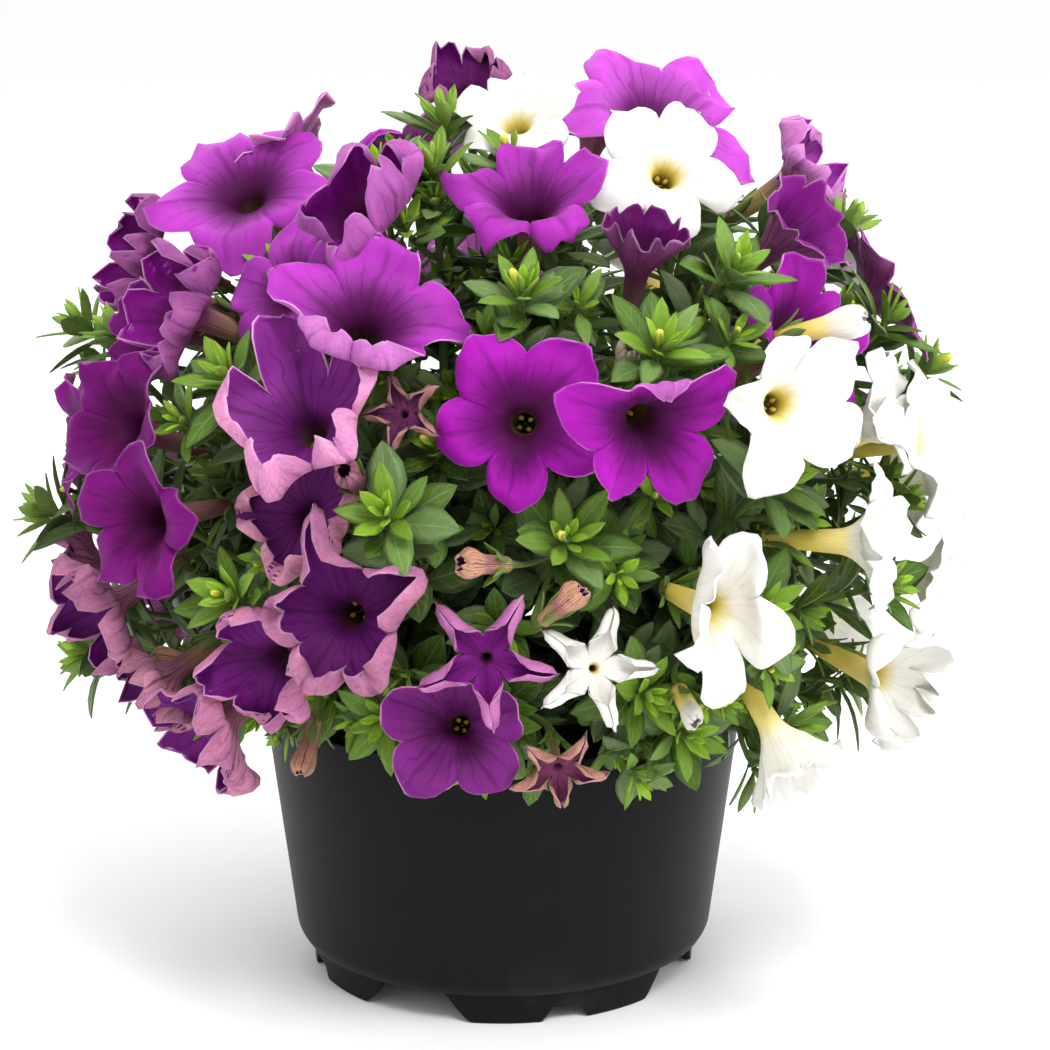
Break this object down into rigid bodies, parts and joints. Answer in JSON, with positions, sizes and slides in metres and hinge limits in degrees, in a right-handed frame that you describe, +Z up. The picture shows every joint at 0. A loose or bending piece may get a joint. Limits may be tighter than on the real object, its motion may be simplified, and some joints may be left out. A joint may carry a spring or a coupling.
{
  "type": "potted calibrachoa",
  "caption": "Round mound of small trumpet flowers, violet on one side and white on the other, over bright leafy shoots in a low round black nursery pot.",
  "frame": {"origin": "on the table, under the middle of the whole plant, on the axis of the pot", "axes": "+Z up; -Y towards the viewer of the picture; +X to the viewer's right"},
  "size_m": [0.2134, 0.2101, 0.2307],
  "materials": {
    "black_plastic": "satin moulded black plastic",
    "potting_soil": "damp dark peat with bark fibres",
    "crown_stem": "green-brown soft woody stem",
    "leaf_green": "soft downy green leaf, lighter at the edge and midrib",
    "violet_petal": "velvety violet with darker veins, paler pink underneath",
    "white_petal": "soft white with a cream yellow throat"
  },
  "bodies": {
    "root": {"crown_violet": "crown_stem", "crown_white": "crown_stem", "pot": "black_plastic", "soil": "potting_soil", "violet_flower_01": "violet_petal", "violet_flower_02": "violet_petal", "violet_flower_03": "violet_petal", "violet_flower_04": "violet_petal", "violet_flower_05": "violet_petal", "violet_flower_06": "violet_petal", "violet_flower_07": "violet_petal", "violet_flower_08": "violet_petal", "violet_flower_09": "violet_petal", "violet_flower_10": "violet_petal", "violet_flower_11": "violet_petal", "violet_flower_12": "violet_petal", "violet_flower_13": "violet_petal", "violet_flower_14": "violet_petal", "violet_flower_15": "violet_petal", "violet_flower_16": "violet_petal", "violet_flower_17": "violet_petal", "violet_flower_18": "violet_petal", "violet_flower_19": "violet_petal", "violet_flower_20": "violet_petal", "violet_flower_21": "violet_petal", "violet_flower_22": "violet_petal", "violet_flower_23": "violet_petal", "violet_flower_24": "violet_petal", "violet_flower_25": "violet_petal", "violet_flower_26": "violet_petal", "violet_shoot_01": "leaf_green", "violet_shoot_02": "leaf_green", "violet_shoot_03": "leaf_green", "violet_shoot_04": "leaf_green", "violet_shoot_05": "leaf_green", "violet_shoot_06": "leaf_green", "violet_shoot_07": "leaf_green", "violet_shoot_08": "leaf_green", "violet_shoot_09": "leaf_green", "violet_shoot_10": "leaf_green", "violet_shoot_11": "leaf_green", "violet_shoot_12": "leaf_green", "violet_shoot_13": "leaf_green", "white_flower_01": "white_petal", "white_flower_02": "white_petal", "white_flower_03": "white_petal", "white_flower_04": "white_petal", "white_flower_05": "white_petal", "white_flower_06": "white_petal", "white_flower_07": "white_petal", "white_flower_08": "white_petal", "white_flower_09": "white_petal", "white_flower_10": "white_petal", "white_flower_11": "white_petal", "white_flower_12": "white_petal", "white_shoot_01": "leaf_green", "white_shoot_02": "leaf_green", "white_shoot_03": "leaf_green", "white_shoot_04": "leaf_green", "white_shoot_05": "leaf_green"}
  },
  "joints": []
}
